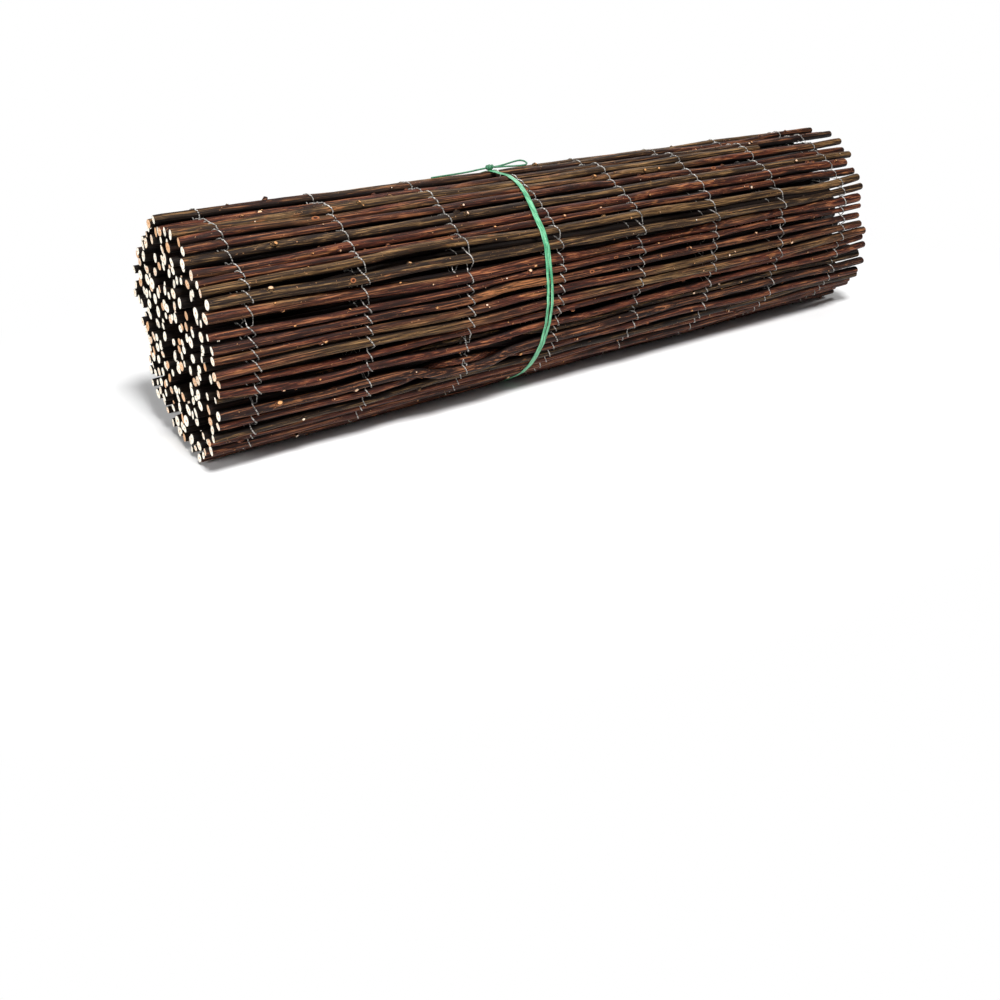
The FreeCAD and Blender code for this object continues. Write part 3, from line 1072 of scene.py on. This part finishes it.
wire_pieces = []
for row, x0 in enumerate(row_x, start=1):
    for half, first_outside in (("a", True), ("b", False)):
        wire_dice = np.random.default_rng(wire_seed + row)
        points = strand_points(x0, first_outside, wire_dice)
        strand = add_tube(f"wire_{row}_{half}", points, strand_radius)
        bpy.ops.object.shade_smooth()
        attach(strand, "root")
        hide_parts(f"binding_wire_{row}_{half}")
        wire_pieces.append(strand)
print(len(wire_pieces), "strands, each of about", len(wire_pieces[0].data.polygons), "faces")

# %% [markdown]
# ## The string
#
# The string is flat green film, folded lengthwise and wound round the roll twice. Pulled tight, it
# touches only the rods that stick out furthest, and runs straight from one to the next, so its
# line is the convex outline of the rods. It slants a little, and in front it strays from that
# slant, first towards the near end and then back.

# %% Wind the string
string_width = 0.0036
string_pitch = 0.0038
string_thickness = 0.0010
string_gap = 0.0001
string_wander = 0.0005
film_thickness = 0.0003
fold_heights = [0.0, 0.75, 0.45, 1.0, 0.5, 0.85, 0.0]
dots_per_rod = 48
outline_corners = 240


def string_outline():
    """The convex outline of the bent rods where the string goes round them."""
    dots = []
    for index in np.nonzero(outer_turn)[0]:
        x = float(string_x(*centres[index]))
        y, z = centre_at(index, x)
        reach = radius_at(index, x) + string_gap
        for angle in np.linspace(0, 2 * math.pi, dots_per_rod, endpoint=False):
            dots.append((y + reach * math.cos(angle), z + reach * math.sin(angle)))
    return convex_hull(sorted(dots))


def convex_hull(dots):
    """The corners of the tightest outline round the dots, counter-clockwise."""

    def half_hull(row):
        kept = []
        for dot in row:
            while len(kept) > 1 and turns_right(kept[-2], kept[-1], dot):
                kept.pop()
            kept.append(dot)
        return kept[:-1]

    return half_hull(dots) + half_hull(dots[::-1])


def turns_right(a, b, c):
    return (b[0] - a[0]) * (c[1] - a[1]) - (b[1] - a[1]) * (c[0] - a[0]) <= 0


def even_outline(corners, count):
    """The same outline with evenly spaced corners, and the outward direction at each."""
    loop = np.array(corners + corners[:1])
    reach = np.concatenate([[0], np.cumsum(np.linalg.norm(np.diff(loop, axis=0), axis=1))])
    marks = np.linspace(0, reach[-1], count, endpoint=False)
    even = np.column_stack([np.interp(marks, reach, loop[:, axis]) for axis in (0, 1)])
    return even, with_outward(np.roll(even, -1, axis=0) - np.roll(even, 1, axis=0))[1]


outline, outline_out = even_outline(string_outline(), outline_corners)


def make_strand(name, shift, string_dice):
    """One winding: a ring of edges is pulled sideways fold by fold, and then gets its thickness."""
    size = {"vertices": len(outline), "radius": 0.12, "rotation": along_x}
    ring = add_shape(bpy.ops.mesh.primitive_circle_add, name, **size)
    turn = np.arange(len(outline)) * 2 * math.pi / len(outline)
    wander = sum(
        string_wander * np.sin(turn * waves + string_dice.uniform(0, 6)) for waves in (2, 3, 7)
    )
    for corner, (y, z), stray in zip(ring.data.vertices, outline, wander):
        corner.co = (string_x(y, z) + shift + stray - string_width / 2, y, z)
    bpy.ops.object.mode_set(mode="EDIT")
    bpy.ops.mesh.select_mode(type="EDGE")
    bpy.ops.mesh.select_all(action="SELECT")
    fold_count = len(fold_heights) - 1
    for fold in range(fold_count):
        step = {"value": (string_width / fold_count, 0, 0)}
        bpy.ops.mesh.extrude_region_move(TRANSFORM_OT_translate=step)
    bpy.ops.object.mode_set(mode="OBJECT")
    raise_folds(ring)
    return ring


def raise_folds(ring):
    """Lifts each row of corners to its fold's height, then gives the film its thickness."""
    for corner in ring.data.vertices:
        row, place = divmod(corner.index, len(outline))
        lift = film_thickness + (string_thickness - 2 * film_thickness) * fold_heights[row]
        corner.co.y += outline_out[place][0] * lift
        corner.co.z += outline_out[place][1] * lift
    film = ring.modifiers.new("film", "SOLIDIFY")
    film.thickness = film_thickness
    film.offset = 0.0
    bpy.ops.object.modifier_apply(modifier="film")


string_dice = np.random.default_rng(5)
shifts = (-string_pitch / 2, string_pitch / 2)
strands = [make_strand("string_winding", shift, string_dice) for shift in shifts]
print(len(outline), "corners, windings of", len(strands[0].data.polygons), "faces")

# %% [markdown]
# ## The knot
#
# The string is tied on top in a bow with one loop. The knot is a few wraps of the same film pulled
# tight: three slanting rings round a small core, one wrap across them, and the short end that
# sticks out.

# %% Tie the knot
core_size = (0.0056, 0.0026, 0.0027)
short_end_radius = 0.0008
short_end_route = [(-0.001, 0.0, 0.001), (-0.002, -0.0015, 0.0025), (-0.0026, -0.003, 0.0036)]
wraps = [
    # Place, radius of the ring, radius of the film, turn, and how it is stretched.
    ((-0.0032, 0.0, 0.0), 0.0021, 0.0009, (0.0, 0.15, 0.25), (1.3, 1.0, 1.0)),
    ((0.0002, 0.0, 0.0), 0.0027, 0.0010, (0.0, -0.20, -0.30), (1.4, 1.0, 0.96)),
    ((0.0034, 0.0, 0.0), 0.0021, 0.0009, (0.0, 0.25, 0.10), (1.2, 1.0, 1.0)),
    ((0.0, 0.0, -0.0011), 0.0029, 0.0009, (0.35, 0.0, 1.25), (1.2, 1.0, 0.95)),
]


def put_in_knot(part, place, turn, stretch):
    part.scale = stretch
    part.rotation_euler = turn
    part.location = knot_place + Vector(place)
    bpy.ops.object.transform_apply(location=True, rotation=True, scale=True)
    return part


def add_core():
    size = {"segments": 20, "ring_count": 12, "radius": 1.0}
    core = add_shape(bpy.ops.mesh.primitive_uv_sphere_add, "knot_core", **size)
    return put_in_knot(core, (0, 0, 0), (0, 0, 0), core_size)


def add_wrap(place, long_radius, thickness, turn, stretch):
    """One wrap of film: a ring round X, turned a little, and stretched."""
    size = {"major_radius": long_radius, "minor_radius": thickness}
    size.update(major_segments=28, minor_segments=10)
    start = {"location": (0, 0, 0), "rotation": along_x}
    wrap = add_shape(bpy.ops.mesh.primitive_torus_add, "knot_wrap", **size, **start)
    return put_in_knot(wrap, place, turn, stretch)


knot_parts = [add_core()] + [add_wrap(*wrap) for wrap in wraps]
short_end_points = [knot_place + Vector(step) for step in short_end_route]
knot_parts.append(add_tube("string_short_end", short_end_points, short_end_radius))
# The knot, tail and loop are marked for a darker green: painted shade.
for piece in strands:
    add_values(piece.data, knot=0.0)
for piece in (*knot_parts, tail, loop):
    add_values(piece.data, knot=1.0)
tied = join([*strands, *knot_parts], "green_string")
bpy.ops.object.shade_smooth_by_angle(angle=math.radians(50))
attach(tied, "root")
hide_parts("tie_string")
print("string and knot of", len(tied.data.polygons), "faces")

# %% [markdown]
# ## Bark, wood, wire and string
#
# Willow bark runs from olive to a dark reddish brown, and each rod has its own shade. Along a rod
# there are fine streaks, blotches where the bark is worn to orange, and pale specks. The pale
# streaks are partly the bark's own and partly painted highlight. Bark that is turned away from the
# open, and the bark of the inner turns, is painted darker: painted shade between the rods. The cut
# ends show cream wood with a tan heart. The wire is dull zinc, and the string is mint green film
# with pale streaks along its folds. Its knot, tail and loop are painted a darker green, as painted
# shade.

# %% Paint the bark


def rgb(red, green, blue):
    """A colour as a screen shows it, 0 to 255, as the light it stands for, fully opaque."""
    shares = [part / 255 for part in (red, green, blue)]
    light = [x / 12.92 if x <= 0.04045 else ((x + 0.055) / 1.055) ** 2.4 for x in shares]
    return (*light, 1.0)


def paint(pieces, material):
    for piece in pieces:
        piece.data.materials.clear()
        piece.data.materials.append(material)


def make_bark():
    bark = Shader("willow_bark")
    names = ("tone", "red", "phase", "across", "cut", "scar", "bare", "sheltered")
    tone, red, phase, across, cut, scar, bare, sheltered = map(bark.attribute, names)

    streaks = bark.noise((13, 640, 640), 3.0, 0.62, phase)
    fine = bark.noise((55, 1300, 1300), 3.0, 0.66, phase)
    patches = bark.noise((36, 150, 150), 3.0, 0.6, phase)
    slow = bark.noise((6, 36, 36), 2.0, 0.5, phase)
    specks = bark.noise((330, 500, 500), 2.0, 0.5, phase)

    olive = bark.mix(tone, rgb(42, 27, 14), rgb(112, 82, 48))
    russet = bark.mix(tone, rgb(38, 14, 10), rgb(98, 42, 26))
    reddish = (red + (slow - 0.5) * 0.8).smooth(0.38, 0.58)
    base = bark.mix(reddish, olive, russet)
    # Pale streaks: partly the bark's own colour, partly painted highlight standing in for the sheen
    # along the rods.
    pale_streak_and_highlight = bark.mix(reddish, rgb(156, 120, 78), rgb(168, 108, 70))
    peeled = (patches + (slow - 0.5) * 0.6).smooth(0.62, 0.72) * 0.6
    worn = bark.mix((peeled + bare).smooth(0.0, 0.9), base, rgb(168, 108, 64))
    light = bark.mix(streaks.smooth(0.52, 0.66) * 0.75, worn, pale_streak_and_highlight)
    light = bark.mix(fine.smooth(0.56, 0.70) * 0.5, light, pale_streak_and_highlight)
    dark = bark.mix((1 - streaks.smooth(0.41, 0.56)) * 0.88, light, rgb(18, 8, 5))
    dark = bark.mix((1 - fine.smooth(0.40, 0.56)) * 0.6, dark, rgb(20, 9, 6))
    pale = bark.mix(specks.smooth(0.70, 0.75) * 0.7, dark, rgb(184, 134, 92))
    # Painted shade: bark turned away from the open, and the inner turns, is painted nearly black.
    shaded = bark.mix(sheltered.smooth(0.05, 0.70) * 0.94, pale, rgb(10, 4, 3))
    around_scar = scar.smooth(0.35, 0.75) * (0.25 + fine * 1.1)
    ring = bark.mix(around_scar, shaded, rgb(158, 96, 58))
    healed = bark.mix(scar.smooth(1.25, 1.6), ring, rgb(50, 22, 14))

    grain = bark.noise((300, 800, 800), 2.0, 0.5, phase)
    heart, cream = rgb(206, 150, 96), rgb(255, 247, 230)
    wood = bark.mix(across.smooth(0.08, 0.30), heart, cream)
    stained = (tone + (grain - 0.5) * 0.9).smooth(0.66, 0.86) * 0.8
    wood = bark.mix(stained, wood, rgb(214, 150, 86))
    inside_rim = (1 - across).smooth(0.05, 0.10)
    end = bark.mix(inside_rim, rgb(40, 20, 12), wood)
    colour = bark.mix(cut, healed, end)

    rough = 0.50 + patches * 0.25 + cut * 0.2
    height = streaks * 0.9 + patches * 0.6 + specks * 0.3 + fine * 0.35
    normal = bark.bump(height, 0.8, 0.0010)
    return bark.finish(Base_Color=colour, Roughness=rough, Normal=normal, Specular_IOR_Level=0.2)


paint(turn_pieces, make_bark())
print("bark on", len(turn_pieces), "pieces")

# %% Paint the wire and the string


def make_zinc():
    wire = Shader("zinc_wire")
    dull = wire.noise((620, 620, 620), 2.0)
    colour = wire.mix(dull.smooth(0.42, 0.58), rgb(72, 68, 64), rgb(196, 193, 187))
    return wire.finish(Base_Color=colour, Roughness=0.34 + dull * 0.2, Metallic=0.4)


def make_green_film():
    film = Shader("green_film")
    streaks = film.noise((60, 900, 900), 3.0, 0.55)
    folds = film.noise((900, 60, 60), 3.0, 0.6)
    colour = film.mix(folds.smooth(0.38, 0.66), rgb(44, 128, 88), rgb(124, 194, 150))
    colour = film.mix(streaks.smooth(0.55, 0.8) * 0.5, colour, rgb(188, 232, 200))
    # Painted shade: the knot, tail and loop are painted a darker green.
    colour = film.mix(film.attribute("knot") * 0.62, colour, rgb(14, 72, 44))
    normal = film.bump(folds + streaks * 0.5, 0.5, 0.0004)
    return film.finish(Base_Color=colour, Roughness=0.5, Normal=normal)


paint(wire_pieces, make_zinc())
paint((tied, tail, loop), make_green_film())
print("zinc on", len(wire_pieces), "strands, green on the string, its knot, tail and loop")
